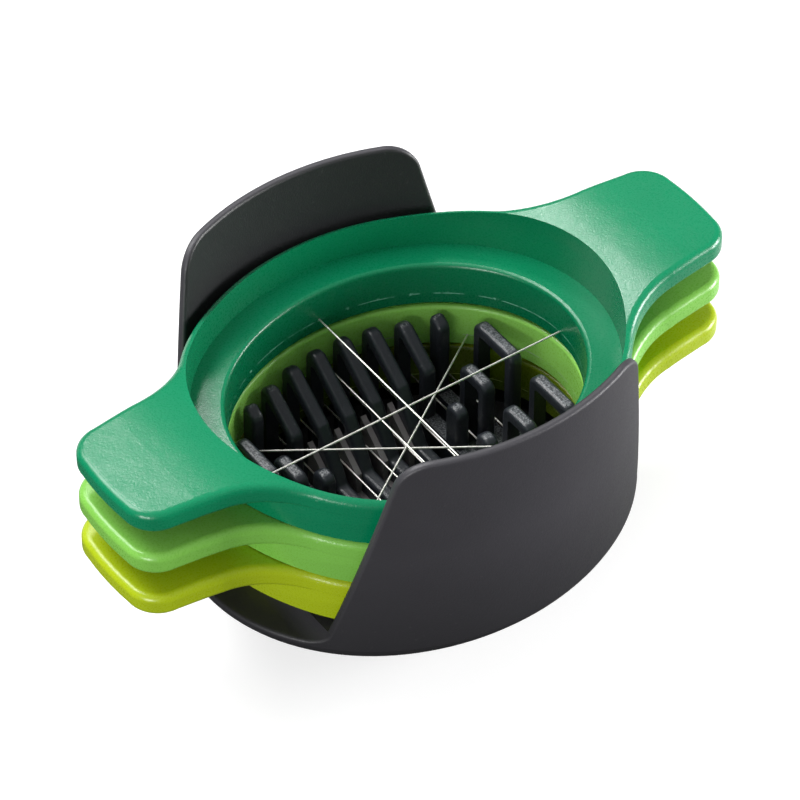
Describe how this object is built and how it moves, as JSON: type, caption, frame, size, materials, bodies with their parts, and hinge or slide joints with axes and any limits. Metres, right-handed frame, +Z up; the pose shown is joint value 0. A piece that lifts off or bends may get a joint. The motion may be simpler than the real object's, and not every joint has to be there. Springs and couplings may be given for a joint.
{
  "type": "egg slicer",
  "caption": "Oval egg slicer: a cup with an egg cradle of upright fins and stacked, handled wire frames that cut slices, wedges or quarters.",
  "frame": {"origin": "middle of the flat underside of the cup", "axes": "+X along the handles, +Y across to the back wall, +Z up"},
  "size_m": [0.15, 0.094, 0.072],
  "materials": {
    "base_plastic": "fine matte grain",
    "cradle_plastic": "satin",
    "rib_plastic": "matte",
    "quarter_plastic": "satin with a fine grain",
    "wedge_plastic": "satin with a fine grain",
    "slice_plastic": "satin with a fine grain",
    "wire_steel": "bright drawn wire"
  },
  "bodies": {
    "base": {"base_cup": "base_plastic", "egg_cradle": "cradle_plastic", "cradle_ribs": "rib_plastic"},
    "slice": {"slice_frame": "slice_plastic", "slice_clamp_ring": "slice_plastic", "slice_wire_1": "wire_steel", "slice_wire_2": "wire_steel", "slice_wire_3": "wire_steel", "slice_wire_4": "wire_steel", "slice_wire_5": "wire_steel", "slice_wire_6": "wire_steel", "slice_wire_7": "wire_steel", "slice_wire_8": "wire_steel", "slice_wire_9": "wire_steel", "slice_wire_beads": "wire_steel"},
    "wedge": {"wedge_frame": "wedge_plastic", "wedge_clamp_ring": "wedge_plastic", "wedge_wire_crosswise": "wire_steel", "wedge_wire_left": "wire_steel", "wedge_wire_right": "wire_steel", "wedge_wire_beads": "wire_steel"},
    "quarter": {"quarter_frame": "quarter_plastic", "quarter_clamp_ring": "quarter_plastic", "quarter_wire_crosswise": "wire_steel", "quarter_wire_lengthwise": "wire_steel", "quarter_wire_beads": "wire_steel"}
  },
  "joints": [
    {"name": "slice_lift", "type": "slide", "parent": "base", "child": "slice", "axis": [0, 0, 1], "range_m": [0, 0.06]},
    {"name": "wedge_lift", "type": "slide", "parent": "slice", "child": "wedge", "axis": [0, 0, 1], "range_m": [0, 0.048]},
    {"name": "quarter_lift", "type": "slide", "parent": "wedge", "child": "quarter", "axis": [0, 0, 1], "range_m": [0, 0.036]}
  ]
}
